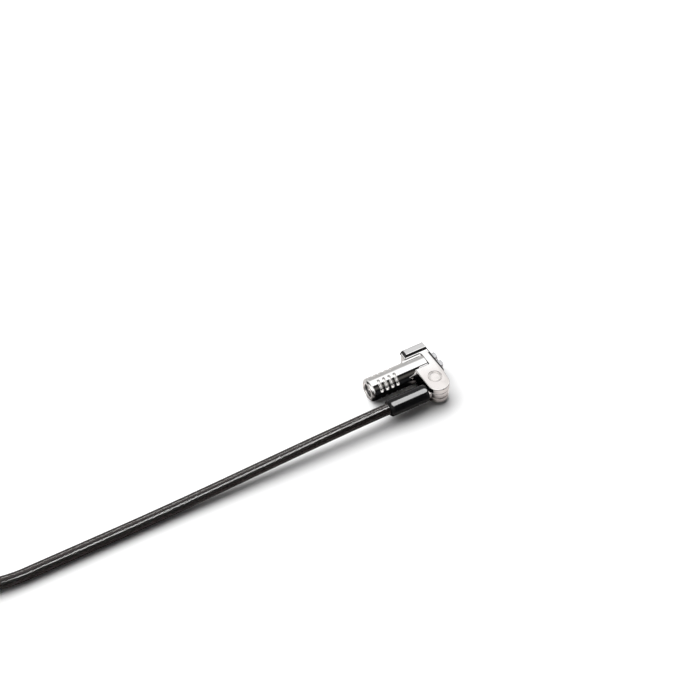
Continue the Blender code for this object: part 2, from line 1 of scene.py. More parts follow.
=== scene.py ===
"""A cable lock: a chromed bracket with a barrel behind it, and a sheathed cable with an end loop.

The lock's axis lies along X with the bracket's front face at the high end and the keyway at the
low end. +Y is the far side from the camera, -Y the near side, and Z is up. The cable swivels on
an ear on the bracket's near side and runs back towards -X.
"""
import math

import bmesh
import bpy
import numpy as np
from mathutils import Matrix, Vector


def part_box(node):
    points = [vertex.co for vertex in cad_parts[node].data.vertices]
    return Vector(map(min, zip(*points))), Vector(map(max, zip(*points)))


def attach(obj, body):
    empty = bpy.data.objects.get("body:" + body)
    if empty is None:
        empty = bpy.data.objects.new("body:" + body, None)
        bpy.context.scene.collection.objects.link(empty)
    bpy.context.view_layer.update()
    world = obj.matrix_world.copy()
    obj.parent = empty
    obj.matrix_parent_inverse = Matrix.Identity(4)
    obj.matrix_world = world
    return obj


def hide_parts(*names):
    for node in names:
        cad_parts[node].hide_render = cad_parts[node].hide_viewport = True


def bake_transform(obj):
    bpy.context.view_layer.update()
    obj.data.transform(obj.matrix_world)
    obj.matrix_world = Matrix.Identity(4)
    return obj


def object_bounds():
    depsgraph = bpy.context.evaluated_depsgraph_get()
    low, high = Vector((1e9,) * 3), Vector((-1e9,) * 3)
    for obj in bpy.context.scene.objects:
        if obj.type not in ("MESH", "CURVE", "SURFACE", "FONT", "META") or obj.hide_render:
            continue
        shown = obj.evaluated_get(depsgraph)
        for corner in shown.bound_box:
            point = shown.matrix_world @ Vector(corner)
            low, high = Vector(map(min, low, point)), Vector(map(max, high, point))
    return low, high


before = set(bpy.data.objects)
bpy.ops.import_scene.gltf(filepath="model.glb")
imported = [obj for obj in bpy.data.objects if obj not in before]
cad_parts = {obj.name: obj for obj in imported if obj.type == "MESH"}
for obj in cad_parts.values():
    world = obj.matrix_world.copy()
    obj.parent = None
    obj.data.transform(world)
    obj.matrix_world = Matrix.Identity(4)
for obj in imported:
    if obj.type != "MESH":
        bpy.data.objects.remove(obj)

cad_low, cad_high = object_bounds()

# ------------------------------------------------------------------ frames and shared sizes
# Shapes are drawn in millimetres with X counted from the bracket's front face, then carried to
# the row frame in metres. Materials, the floor and the lights work in the row frame.
MILLI = 0.001
TAU = math.tau
FRONT_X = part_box("bracket")[1].x / MILLI
EAR = (-4.8, -11.95)  # x, y of the swivel axis
CABLE_TURN = math.radians(-0.3)

BARREL_R = 4.62
SLOT_ROWS = (-24.4, -22.1, -19.8, -17.5)  # x of each row of grip slots
HOOK_PIVOT = 1.75  # distance behind the front face, and to either side of the axis
EYE_LOW, EYE_HIGH = -1.2, 1.5
BOOT_Z = 0.55  # height of the boot's axis

to_row = Matrix.Scale(MILLI, 4) @ Matrix.Translation((FRONT_X, 0.0, 0.0))
# the cable's own frame, with its origin on the swivel axis
chain = to_row @ Matrix.Translation((EAR[0], EAR[1], 0.0)) @ Matrix.Rotation(CABLE_TURN, 4, "Z")


# ------------------------------------------------------------------ node helpers
class Net:
    """A node tree, with a short method for each kind of node used often."""

    def __init__(self, owner, output):
        owner.use_nodes = True
        self.tree = owner.node_tree
        self.tree.nodes.clear()
        self.output = self.add(output)

    def add(self, kind, inputs=None, **settings):
        """Adds a node; inputs are keyed by name or place and hold a value, socket or node."""
        node = self.tree.nodes.new("ShaderNode" + kind)
        for key, value in settings.items():
            setattr(node, key, value)
        for key, value in (inputs or {}).items():
            self.feed(node.inputs[key], value)
        return node

    def feed(self, socket, value):
        if isinstance(value, bpy.types.Node):
            value = value.outputs[0]
        if isinstance(value, bpy.types.NodeSocket):
            self.tree.links.new(value, socket)
        elif socket.type == "RGBA":
            socket.default_value = (*value, 1.0)
        else:
            socket.default_value = value

    def surface(self, shader):
        self.feed(self.output.inputs["Surface"], shader)

    def coords(self, scale=(1.0, 1.0, 1.0)):
        place = self.add("TexCoord").outputs["Object"]
        return self.add("Mapping", {"Vector": place, "Scale": scale}).outputs["Vector"]

    def noise(self, vector, scale, detail=3.0, roughness=0.55):
        inputs = {"Vector": vector, "Scale": scale, "Detail": detail, "Roughness": roughness}
        return self.add("TexNoise", inputs).outputs["Fac"]

    def remap(self, value, span, to=(0.0, 1.0)):
        """Carries the range `span` to the range `to`, clamped at both ends."""
        inputs = {"Value": value, "From Min": span[0], "From Max": span[1],
                  "To Min": to[0], "To Max": to[1]}
        return self.add("MapRange", inputs, clamp=True).outputs["Result"]

    def maths(self, operation, first, second):
        return self.add("Math", {0: first, 1: second}, operation=operation).outputs[0]

    def product(self, first, *others):
        for value in others:
            first = self.maths("MULTIPLY", first, value)
        return first

    def mix(self, factor, first, second):
        inputs = {"Factor": factor, "A": first, "B": second}
        return self.add("Mix", inputs, data_type="RGBA").outputs["Result"]

    def mix_shader(self, factor, first, second):
        return self.add("MixShader", {"Fac": factor, 1: first, 2: second})

    def bump(self, height, strength, distance, normal=None):
        inputs = {"Strength": strength, "Distance": distance, "Height": height}
        if normal is not None:
            inputs["Normal"] = normal
        return self.add("Bump", inputs).outputs["Normal"]

    def axes(self, vector):
        return self.add("SeparateXYZ", {0: vector}).outputs

    def ramp(self, factor, stops):
        """A colour ramp over half a turn; stops are (degrees, colour)."""
        node = self.add("ValToRGB", {"Fac": factor})
        elements = node.color_ramp.elements
        elements.remove(elements[-1])
        for i, (degrees, colour) in enumerate(stops):
            stop = elements[0] if i == 0 else elements.new(degrees / 180.0)
            stop.position = degrees / 180.0
            stop.color = (*colour, 1.0)
        return node.outputs["Color"]


def new_material(name):
    material = bpy.data.materials.new(name)
    return material, Net(material, "OutputMaterial")


# ------------------------------------------------------------------ materials
MIDDLE = (0.3, 0.7)  # the range that most of a noise's values fill


def satin_where(net, place, radius, back, front):
    """One below this radius between two stations (row frame, mm), zero elsewhere."""
    along, across, height = net.axes(place)
    squared = net.maths("ADD", net.maths("POWER", across, 2.0), net.maths("POWER", height, 2.0))
    edge = (((radius - 0.12) * MILLI) ** 2, (radius * MILLI) ** 2)
    return net.product(
        net.remap(squared, span=edge, to=(1.0, 0.0)),
        net.remap(along, span=(back * MILLI, (back + 0.1) * MILLI)),
        net.remap(along, span=(front * MILLI, (front - 0.1) * MILLI)))


def plated_metal(name, light, dark, rough, ripple=0.000012, stretch=(1.0, 1.0, 1.0),
                 painted_reflection_zones=(), satin=None, satin_rough=0.0):
    """Plated or turned metal: slow tone drift, hairlines and specks in the gloss, and a ripple.

    `rough` is the roughness range, `ripple` the bump depth in metres, `stretch` the hairlines'
    scale on each axis. Satin adds `satin_rough` inside the place given by `satin`.
    Each zone is a painted reflection: upward faces in a band of Y get a colour standing in for
    what they would reflect.
    """
    material, net = new_material(name)
    place = net.coords()
    tone = net.noise(place, scale=260.0, detail=2.0)
    hairlines = net.noise(net.coords(stretch), scale=5200.0, detail=4.0, roughness=0.7)
    specks = net.noise(place, scale=900.0, detail=5.0, roughness=0.65)
    specks = net.remap(specks, span=(0.48, 0.72))
    colour = net.mix(net.remap(tone, span=MIDDLE), dark, light)
    for start, end, painted_reflection_colour in painted_reflection_zones:
        # painted reflection: upward faces beyond start..end (mm in Y) get a darker colour standing
        # in for what they would reflect
        across = net.axes(place)["Y"]
        normal = net.add("NewGeometry").outputs["True Normal"]
        where = net.product(net.remap(across, span=(start * MILLI, end * MILLI)),
                            net.remap(net.axes(normal)["Z"], span=(0.97, 0.995)))
        colour = net.mix(where, colour, painted_reflection_colour)
    speck_rough = (rough[1] - rough[0]) * 0.35
    roughness = net.maths("ADD", net.remap(hairlines, span=(0.3, 0.75), to=rough),
                          net.product(specks, speck_rough))
    if satin:
        where = satin_where(net, place, **satin)
        roughness = net.maths("ADD", roughness, net.product(where, satin_rough))
    waves = net.noise(place, scale=420.0, detail=2.0)
    normal = net.bump(waves, strength=0.5, distance=ripple)
    normal = net.bump(hairlines, strength=0.35, distance=ripple * 0.18, normal=normal)
    net.surface(net.add("BsdfPrincipled", {
        "Metallic": 1.0, "Base Color": colour, "Roughness": roughness, "Normal": normal}))
    return material


def moulded_black(name, base, sheen, rough, grain, depth, ior=1.45):
    """Moulded polymer: faint flow marks in the tone, fine grain, and a gloss that drifts.

    `grain` is the grain's noise scale and `depth` its bump in metres.
    """
    material, net = new_material(name)
    place = net.coords()
    flow = net.noise(net.coords((0.35, 1.0, 1.0)), scale=700.0)
    fine = net.noise(place, scale=grain, detail=4.0, roughness=0.6)
    shader = net.add("BsdfPrincipled", {
        "Base Color": net.mix(net.remap(flow, span=MIDDLE), base, sheen),
        "Roughness": net.remap(fine, span=MIDDLE, to=rough),
        "IOR": ior,
        "Normal": net.bump(fine, strength=0.5, distance=depth)})
    # in the chrome it shows as plain black, without its own highlight
    mirrored = net.add("BsdfDiffuse", {"Color": base})
    glossy_ray = net.add("LightPath").outputs["Is Glossy Ray"]
    net.surface(net.mix_shader(glossy_ray, shader, mirrored))
    return material


def smoked_sheath(name):
    """Clear vinyl over the strands: a cloudy smoke tint, some haze, and a glossy drawn skin."""
    material, net = new_material(name)
    streak = net.noise(net.coords((0.06, 1.0, 1.0)), scale=2600.0)
    cloud = net.noise(net.coords(), scale=900.0)
    tint = net.mix(net.remap(cloud, span=MIDDLE), (0.36, 0.325, 0.315), (0.47, 0.43, 0.42))
    clear = net.add("BsdfTransparent", {"Color": tint})
    milk = net.mix(cloud, (0.026, 0.022, 0.021), (0.050, 0.043, 0.041))
    haze = net.add("BsdfDiffuse", {"Color": milk})
    facing = net.add("LayerWeight", {"Blend": 0.3}).outputs["Facing"]
    haziness = net.remap(facing, span=(0.0, 1.0), to=(0.30, 0.95))
    body = net.mix_shader(haziness, clear, haze)
    ripple = net.bump(streak, strength=0.25, distance=0.000008)
    skin = net.add("BsdfAnisotropic", {
        "Roughness": net.remap(streak, span=MIDDLE, to=(0.075, 0.125)),
        "Normal": ripple}, distribution="GGX")
    fresnel = net.add("Fresnel", {"IOR": 1.40, "Normal": ripple})
    net.surface(net.mix_shader(fresnel, body, skin))
    return material


# the two zones are painted reflection: a darker warm tone on upward faces towards the ear, and
# grey on the arm's top
CHROME = plated_metal(
    "chrome_plate", light=(0.88, 0.862, 0.852), dark=(0.81, 0.792, 0.782), rough=(0.022, 0.055),
    ripple=0.000006,
    painted_reflection_zones=((-3.5, -8.0, (0.735, 0.700, 0.685)), (4.2, 5.0, (0.56, 0.555, 0.555))))
CHROME_ROUND = plated_metal(
    "chrome_turned", light=(0.88, 0.868, 0.86), dark=(0.81, 0.80, 0.79), rough=(0.018, 0.05),
    ripple=0.000003, stretch=(1.0, 0.2, 0.2))
# the milled slots, and 1 mm past the end rows, keep a bead-blasted satin
CHROME_GRIP = plated_metal(
    "chrome_grip", light=(0.90, 0.888, 0.88), dark=(0.83, 0.82, 0.81), rough=(0.018, 0.05),
    ripple=0.000003, stretch=(1.0, 0.2, 0.2), satin_rough=0.17,
    satin={"radius": 4.35, "back": FRONT_X + (SLOT_ROWS[0] - 1.0),
           "front": FRONT_X + (SLOT_ROWS[-1] + 1.0)})
KEY_FACE = plated_metal(
    "keyway_satin", light=(0.96, 0.95, 0.94), dark=(0.88, 0.87, 0.86), rough=(0.24, 0.36),
    ripple=0.000006, stretch=(0.3, 1.0, 1.0))
INLAY = plated_metal(
    "chrome_inlay", light=(0.76, 0.725, 0.71), dark=(0.66, 0.63, 0.615), rough=(0.05, 0.12),
    ripple=0.000006)
STEEL = plated_metal(
    "ground_steel", light=(0.60, 0.60, 0.61), dark=(0.50, 0.50, 0.52), rough=(0.20, 0.36),
    stretch=(0.08, 1.0, 1.0))
DARK_STEEL = plated_metal(
    "blackened_steel", light=(0.24, 0.24, 0.25), dark=(0.16, 0.16, 0.17), rough=(0.30, 0.48))
SPRING = plated_metal(
    "spring_wire", light=(0.62, 0.61, 0.60), dark=(0.48, 0.48, 0.49), rough=(0.16, 0.30))
BRASS = plated_metal(
    "turned_brass", light=(0.80, 0.62, 0.33), dark=(0.66, 0.48, 0.22), rough=(0.18, 0.34),
    stretch=(1.0, 0.15, 0.15))
# painted shade: a dark brass standing in for the shade inside the lock behind the keyway
BRASS_SHADED = plated_metal(
    "brass_painted_shade", light=(0.17, 0.125, 0.065), dark=(0.10, 0.075, 0.04), rough=(0.38, 0.55))
STRAND = plated_metal(
    "rope_strand", light=(0.52, 0.51, 0.50), dark=(0.34, 0.33, 0.33), rough=(0.22, 0.42),
    ripple=0.00002)
RUBBER = moulded_black(
    "pad_rubber", base=(0.016, 0.016, 0.017), sheen=(0.028, 0.028, 0.029), rough=(0.55, 0.75),
    grain=6000.0, depth=0.00002)
GLOSS = moulded_black(
    "boot_gloss", base=(0.0070, 0.0070, 0.0076), sheen=(0.0105, 0.0105, 0.0112),
    rough=(0.05, 0.085), grain=2500.0, depth=0.0000010, ior=1.27)
CRIMP = moulded_black(
    "crimp_plastic", base=(0.011, 0.011, 0.012), sheen=(0.018, 0.018, 0.019),
    rough=(0.22, 0.34), grain=3800.0, depth=0.000006, ior=1.35)
SHEATH = smoked_sheath("smoked_sheath")


# ------------------------------------------------------------------ outline helpers
def rounded(points, radii, steps=4):
    """A closed outline with its corners rounded: one radius per point, zero for a sharp one."""
    out = []
    count = len(points)
    for i, point in enumerate(points):
        if radii[i] <= 0.0:
            out.append(point)
            continue
        before, corner, after = (Vector(points[(i + k) % count]) for k in (-1, 0, 1))
        back, ahead = (before - corner).normalized(), (after - corner).normalized()
        half = back.angle(ahead) / 2.0
        if half > math.pi / 2 - 0.01:
            out.append(point)
            continue
        reach = min(radii[i] / math.tan(half), (before - corner).length * 0.49,
                    (after - corner).length * 0.49)
        radius = reach * math.tan(half)
        centre = corner + (back + ahead).normalized() * (radius / math.sin(half))
        start, end = corner + back * reach - centre, corner + ahead * reach - centre
        first = math.atan2(start.y, start.x)
        sweep = (math.atan2(end.y, end.x) - first + math.pi) % TAU - math.pi
        for k in range(steps + 1):
            turn = first + sweep * k / steps
            out.append((centre.x + radius * math.cos(turn), centre.y + radius * math.sin(turn)))
    return out


def rounded_rect(left, right, low, high, radius, steps):
    points = [(left, low), (right, low), (right, high), (left, high)]
    return rounded(points, [radius] * 4, steps)


def arc(centre, radius, start, end, steps):
    """Points on an arc between two angles in degrees."""
    turns = [math.radians(start + (end - start) * k / steps) for k in range(steps + 1)]
    return [(centre[0] + radius * math.cos(turn), centre[1] + radius * math.sin(turn))
            for turn in turns]


def ease(share):
    """A smooth step from 0 to 1, held at both ends."""
    share = min(max(share, 0.0), 1.0)
    return share * share * (3.0 - 2.0 * share)


# ------------------------------------------------------------------ mesh helpers
def lathe(profile, segments, axis="X", centre=(0.0, 0.0)):
    """Turns (station, radius) rows about an axis; the last row joins back to the first."""
    shape = bmesh.new()

    def point(station, radius, angle):
        first = centre[0] + radius * math.cos(angle)
        second = centre[1] + radius * math.sin(angle)
        return (station, first, second) if axis == "X" else (first, second, station)

    rings = []
    for station, radius in profile:
        if radius < 1e-6:
            rings.append([shape.verts.new(point(station, 0.0, 0.0))])
        else:
            rings.append([shape.verts.new(point(station, radius, TAU * k / segments))
                          for k in range(segments)])
    for i, ring in enumerate(rings):
        after = rings[(i + 1) % len(rings)]
        if len(ring) == 1 and len(after) == 1:
            continue
        for k in range(segments):
            n = (k + 1) % segments
            corners = []
            for vert in (ring[k % len(ring)], after[k % len(after)],
                         after[n % len(after)], ring[n % len(ring)]):
                if vert not in corners:
                    corners.append(vert)
            shape.faces.new(corners)
    return shape


def cylinder(low, high, radius, segments, axis="X", centre=(0.0, 0.0)):
    return lathe([(low, 0.0), (low, radius), (high, radius), (high, 0.0)],
                 segments, axis, centre)


def prism(outline, low, high, plane="XY", edge=0.0, steps=3):
    """Extrudes an outline in a plane; both rims are rounded over by `edge`."""
    shape = bmesh.new()

    def point(first, second, depth):
        return (first, second, depth) if plane == "XY" else (depth, first, second)

    bottom = [shape.verts.new(point(*pair, low)) for pair in outline]
    top = [shape.verts.new(point(*pair, high)) for pair in outline]
    floor_face = shape.faces.new(bottom)
    top_face = shape.faces.new(list(reversed(top)))
    for i in range(len(outline)):
        n = (i + 1) % len(outline)
        shape.faces.new((bottom[i], bottom[n], top[n], top[i]))
    bmesh.ops.recalc_face_normals(shape, faces=shape.faces)
    if edge > 0.0:
        bmesh.ops.bevel(shape, geom=list(top_face.edges) + list(floor_face.edges), offset=edge,
                        segments=steps, profile=0.5, affect="EDGES", clamp_overlap=True)
    return shape


def box(x0, x1, y0, y1, z0, z1):
    shape = bmesh.new()
    bmesh.ops.create_cube(shape, size=1.0)
    bmesh.ops.scale(shape, verts=shape.verts, vec=(x1 - x0, y1 - y0, z1 - z0))
    middle = ((x0 + x1) / 2, (y0 + y1) / 2, (z0 + z1) / 2)
    bmesh.ops.translate(shape, verts=shape.verts, vec=middle)
    return shape


def grid_tube(shape, rings, caps=True):
    """Skins a run of equal rings of points and returns their vertex loops."""
    loops = [[shape.verts.new(point) for point in ring] for ring in rings]
    for one, two in zip(loops, loops[1:]):
        for k in range(len(one)):
            n = (k + 1) % len(one)
            shape.faces.new((one[k], one[n], two[n], two[k]))
    if caps:
        shape.faces.new(loops[0])
        shape.faces.new(list(reversed(loops[-1])))
    return loops


CUT, JOIN = "DIFFERENCE", "UNION"


def temporary(shape, name="tool"):
    bmesh.ops.recalc_face_normals(shape, faces=shape.faces)
    mesh = bpy.data.meshes.new(name)
    shape.to_mesh(mesh)
    shape.free()
    obj = bpy.data.objects.new(name, mesh)
    bpy.context.scene.collection.objects.link(obj)
    return obj


def carve(base, tools):
    """Applies (operation, shape) exact booleans in order and returns the resulting shape."""
    work = temporary(base, "work")
    helpers = []
    for operation, tool in tools:
        helper = temporary(tool)
        helpers.append(helper)
        modifier = work.modifiers.new("b", "BOOLEAN")
        modifier.operation = operation
        modifier.solver = "EXACT"
        modifier.object = helper
    bpy.context.view_layer.update()
    depsgraph = bpy.context.evaluated_depsgraph_get()
    mesh = bpy.data.meshes.new_from_object(work.evaluated_get(depsgraph))
    out = bmesh.new()
    out.from_mesh(mesh)
    for obj in [work] + helpers:
        data = obj.data
        bpy.data.objects.remove(obj, do_unlink=True)
        bpy.data.meshes.remove(data)
    bpy.data.meshes.remove(mesh)
    return out


def finish_piece(name, shape, material, body=None, matrix=to_row, nodes=(),
                 angle=34.0, merge=1e-4):
    """Makes the object, sharp above `angle` degrees, puts it on its body if given, and hides the
    CAD nodes it stands for.
    """
    if merge:
        bmesh.ops.remove_doubles(shape, verts=shape.verts, dist=merge)
    bmesh.ops.recalc_face_normals(shape, faces=shape.faces)
    mesh = bpy.data.meshes.new(name)
    shape.to_mesh(mesh)
    shape.free()
    mesh.transform(matrix)
    mesh.materials.append(material)
    obj = bpy.data.objects.new(name, mesh)
    bpy.context.scene.collection.objects.link(obj)
    mesh.shade_smooth()
    mesh.set_sharp_from_angle(angle=math.radians(angle))
    if body:
        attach(obj, body)
    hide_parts(*nodes)
    return obj


def soften(obj, width, segments=3, angle=32.0):
    """A small rolled edge on every hard corner, in millimetres."""
    modifier = obj.modifiers.new("rolled_edge", "BEVEL")
    modifier.limit_method = "ANGLE"
    modifier.angle_limit = math.radians(angle)
    modifier.width = width * MILLI
    modifier.segments = segments
    modifier.use_clamp_overlap = True
    modifier.harden_normals = False


# ------------------------------------------------------------------ bracket
PLATE_TOP, PLATE_BOTTOM = 4.15, -3.5
ARM_END, ARM_IN, ARM_OUT, ARM_TOP = -10.1, 3.5, 7.4, 5.0  # far arm: back x, its two y, top z
WEB_BACK, NOTCH_NEAR = -3.0, -3.05  # x and y of the notch's inner walls
EAR_R = 4.4
EAR_BACK = EAR[0] - EAR_R
RIM_R = 0.42  # rounding of the plate's rims
CREST_FOOT = (2.86, PLATE_TOP - 0.012)  # y, z where the hollow starts to rise
HOLLOW_R = 2.0
MARK = (-4.5, -9.35)  # x, y of the round inlay


def bracket_plate():
    corners = [(0.0, ARM_OUT), (ARM_END, ARM_OUT), (ARM_END, NOTCH_NEAR),
               (EAR_BACK, NOTCH_NEAR), (EAR_BACK, EAR[1])]
    # the last corner only steers the first one's rounding; the ear's arc starts in its place
    plan = rounded(corners, [0.5, 1.5, 0.0, 0.0, 0.0], 8)[:-1]
    plan += arc(EAR, EAR_R, 180, 352, 48) + arc((-0.6, -8.2), 0.6, -8, 0, 2)
    return prism(plan, PLATE_BOTTOM, PLATE_TOP, "XY", RIM_R, 5)


def bracket_ridge():
    """Raised far strip: flat crest, rolled outer corner, inner side running out in a hollow."""
    foot_y, foot_z = CREST_FOOT
    crest = [(2.2, PLATE_TOP - 0.6), (2.2, foot_z)]
    for degrees in range(0, 35, 4):
        turn = math.radians(degrees)
        crest.append((foot_y + HOLLOW_R * math.sin(turn),
                      foot_z + HOLLOW_R * (1.0 - math.cos(turn))))
    crest += [(4.60, ARM_TOP - 0.115), (4.72, ARM_TOP - 0.045), (4.86, ARM_TOP - 0.01),
              (5.02, ARM_TOP), (ARM_OUT - RIM_R, ARM_TOP)]
    crest += arc((ARM_OUT - 0.01 - RIM_R, ARM_TOP - RIM_R), RIM_R, 80, 0, 5)
    crest += [(ARM_OUT - 0.01, PLATE_TOP - 0.6)]
    ridge = prism(crest, ARM_END + 0.06, -0.06, "YZ")
    # the back end leans forward towards the crest
    for vert in ridge.verts:
        if vert.co.x < ARM_END + 1.0 and vert.co.z > PLATE_TOP - 0.05:
            rise = (vert.co.z - PLATE_TOP) / (ARM_TOP - PLATE_TOP)
            vert.co.x += 0.35 + 1.0 * min(max(rise, 0.0), 1.0)
    return ridge


def bracket_cuts():
    through = (PLATE_BOTTOM - 1.0, ARM_TOP + 1.0)
    below = PLATE_BOTTOM - 0.5
    open_x = ARM_END - 3.0
    notch = rounded([(open_x, ARM_IN), (open_x, NOTCH_NEAR), (WEB_BACK, NOTCH_NEAR),
                     (WEB_BACK, ARM_IN)], [0.0, 0.0, 0.35, 1.0], 8)
    pocket = [(-5.95, 4.0), (-5.95, 5.95), (-8.1, 5.95), (ARM_END - 0.4, 4.85),
              (ARM_END - 0.4, 4.0)]
    tools = [
        prism(notch, *through),
        box(open_x, EAR_BACK, NOTCH_NEAR - 5.0, NOTCH_NEAR + 0.5, *through),
        # room for the barrel, and a window through the web
        cylinder(ARM_END - 2.0, WEB_BACK, BARREL_R + 0.3, 120),
        box(WEB_BACK - 0.5, 0.5, -3.0, 3.0, -1.2, 1.2),
        # gap for the swivel eye, 0.2 mm clear above and below, and the blind bore on its axis
        cylinder(EYE_LOW - 0.2, EYE_HIGH + 0.2, 5.4, 120, "Z", EAR),
        cylinder(below, 3.1, 1.36, 48, "Z", EAR),
        # seat for the inlay, and a pocket in the arm's inner side
        cylinder(3.7, PLATE_TOP + 0.5, 2.75, 96, "Z", MARK),
        prism(pocket, -1.2, 1.2),
    ]
    # bores at the hook pivots
    tools += [cylinder(below, 2.6, 0.55, 32, "Z", (-HOOK_PIVOT, side * HOOK_PIVOT))
              for side in (1, -1)]
    return [(CUT, tool) for tool in tools]


bracket = finish_piece(
    "bracket_shell", carve(bracket_plate(), [(JOIN, bracket_ridge())] + bracket_cuts()),
    CHROME, "bracket", nodes=("bracket",), angle=32.0, merge=0.004)
soften(bracket, 0.13, 3, 30.0)

# ------------------------------------------------------------------ front pad
pad = prism(rounded_rect(-8.0, 7.1, -3.2, 3.95, 0.7, 6), 0.05, 0.45, "YZ", 0.1, 3)
pad_window = prism(rounded_rect(-3.25, 3.25, -1.45, 1.45, 0.35, 5), -1.0, 1.0, "YZ")
finish_piece("front_pad_moulding", carve(pad, [(CUT, pad_window)]),
             RUBBER, "bracket", nodes=("front_pad",))

# ------------------------------------------------------------------ round inlay
# (depth below the plate's top, radius): a rolled rim, a fine groove and a slightly dished field
INLAY_PROFILE = [
    (0.40, 0.0), (0.40, 2.62), (0.14, 2.65), (0.06, 2.62), (0.015, 2.55), (0.0, 2.45),
    (0.01, 2.34), (0.06, 2.26), (0.17, 2.20), (0.20, 2.10), (0.17, 2.00), (0.10, 1.90),
    (0.075, 1.70), (0.07, 1.3), (0.066, 0.6), (0.065, 0.0),
]
inlay = lathe([(PLATE_TOP - depth, radius) for depth, radius in INLAY_PROFILE], 96, "Z", MARK)
finish_piece("mark_inlay", inlay, INLAY, "bracket", nodes=("mark_disc",),
             angle=50.0)

# ------------------------------------------------------------------ barrel
BACK, FRONT = -28.5, -3.4
SLOT_HALF, SLOT_DEPTH = 0.55, 0.85
SLOT_START, SLOT_ARC = 7.0, 65.0  # degrees, in each quarter turn
SHOULDER_TOP, SHOULDER_RUN = 3.95, 0.55  # flat's height; length over which it rises
# (side in y, reach in y, x where it starts)
SHOULDERS = ((1, 3.2, -12.0), (-1, 2.75, -7.4))
# (distance from the back end, radius) of the back rim
BACK_RIM = [(0.0, 3.62), (0.02, 3.74), (0.08, 3.86), (0.30, 4.12), (0.55, 4.37), (0.72, 4.50),
            (0.90, 4.585), (1.08, BARREL_R)]
# (station, radius) of the inside, from the front end to the back
BARREL_BORE = [
    (FRONT, 2.55), (FRONT - 0.1, 2.45), (-5.2, 2.45), (-5.2, 0.86), (-5.85, 0.86),
    (-5.85, 3.62), (-8.95, 3.62), (-8.95, 3.25), (BACK + 0.75, 3.25), (BACK + 0.75, 3.47),
    (BACK + 0.06, 3.47), (BACK, 3.53),
]


def barrel_radius(x, theta):
    """Outside radius at station x and angles theta (from +Y), with shoulders and grip slots."""
    across, up = np.cos(theta), np.sin(theta)
    radius = np.full(theta.shape, BARREL_R)
    for side, reach, start in SHOULDERS:
        toward = side * across
        block = np.minimum(reach / np.maximum(toward, 1e-6), SHOULDER_TOP / np.maximum(up, 1e-6))
        block = np.where((toward > 0) & (up > 0), block, 0.0)
        radius = radius + np.maximum(block - BARREL_R, 0.0) * ease((x - start) / SHOULDER_RUN)
    turned = (np.degrees(theta) - SLOT_START) % 90.0
    inside = np.minimum(turned, SLOT_ARC - turned) * math.pi / 180.0 * BARREL_R
    beyond = np.maximum(SLOT_HALF - inside, 0.0)
    for row in SLOT_ROWS:
        along = abs(x - row)
        distance = np.sqrt(along * along + beyond * beyond)
        fall = np.clip(1.0 - (distance / (SLOT_HALF + 0.06)) ** 3, 0.0, 1.0)
        radius = radius - SLOT_DEPTH * np.sqrt(fall)
    return radius


def barrel_angles():
    """Every 2 degrees, closer at the slot ends and the shoulders' corners."""
    runs = [np.arange(0.0, 360.0, 2.0), np.arange(44.0, 62.0, 0.5), np.arange(118.0, 130.0, 0.5)]
    for quarter in range(4):
        runs += [90.0 * quarter + np.arange(5.6, 15.0, 0.7),
                 90.0 * quarter + np.arange(64.0, 73.6, 0.7)]
    return np.radians(np.array(sorted({round(angle, 3) for run in runs for angle in run})))


def barrel_stations():
    """Stations along the outside, closer over the slots and where the shoulders rise."""
    runs = [
        (BACK + 1.4, SLOT_ROWS[0] - 0.75, 0.4),
        (SLOT_ROWS[0] - 0.7, SLOT_ROWS[-1] + 0.72, 0.06),
        (SLOT_ROWS[-1] + 0.95, -12.2, 0.5),
        (-12.1, -11.3, 0.08),
        (-11.0, -7.6, 0.5),
        (-7.5, -6.75, 0.08),
        (-6.5, FRONT - 0.3, 0.4),
    ]
    return [float(x) for run in runs for x in np.arange(*run)] + [FRONT - 0.2, FRONT - 0.1]


def barrel_sleeve():
    theta = barrel_angles()
    last = barrel_radius(FRONT, theta)
    sections = [(BACK + offset, radius) for offset, radius in BACK_RIM]
    sections += [(x, barrel_radius(x, theta)) for x in barrel_stations()]
    sections += [(FRONT - 0.03, last - 0.03), (FRONT, last - 0.12)]
    sections += BARREL_BORE
    shape = bmesh.new()
    rings = []
    for x, radii in sections:
        radii = np.broadcast_to(radii, theta.shape)
        rings.append([
            shape.verts.new((x, float(radius * math.cos(turn)), float(radius * math.sin(turn))))
            for radius, turn in zip(radii, theta)])
    count = len(theta)
    for i, one in enumerate(rings):
        two = rings[(i + 1) % len(rings)]
        for k in range(count):
            n = (k + 1) % count
            shape.faces.new((one[k], two[k], two[n], one[n]))
    return shape


barrel_window = box(-8.15, -5.95, 2.9, 6.0, -1.15, 1.15)
finish_piece("barrel_sleeve", carve(barrel_sleeve(), [(CUT, barrel_window)]), CHROME_GRIP,
             "barrel", nodes=("barrel_shell",), angle=40.0, merge=0.0)

# ------------------------------------------------------------------ ring round the keyway
# (distance from the barrel's back end, radius)
BEZEL_PROFILE = [
    (0.42, 2.60), (0.30, 2.64), (0.19, 2.73), (0.11, 2.84), (0.08, 2.96), (0.08, 3.22),
    (0.10, 3.31), (0.16, 3.38), (0.25, 3.42), (0.68, 3.42), (0.68, 2.60),
]
bezel = lathe([(BACK + offset, radius) for offset, radius in BEZEL_PROFILE], 96)
finish_piece("keyway_bezel", bezel, CHROME_ROUND, "barrel", nodes=("bezel_ring",),
             angle=45.0)

# ------------------------------------------------------------------ blade
# (x, y), tapering at the front
BLADE_PLAN = [(-5.8, -0.35), (2.3, -0.35), (2.8, -0.15), (2.8, 0.15), (2.3, 0.35), (-5.8, 0.35)]
finish_piece("blade_bar", prism(BLADE_PLAN, -0.72, 0.72, "XY", 0.08, 3), STEEL, "barrel",
             nodes=("locking_blade",))

# ------------------------------------------------------------------ return spring
COIL_BACK, COIL_FRONT = -4.9, -3.28


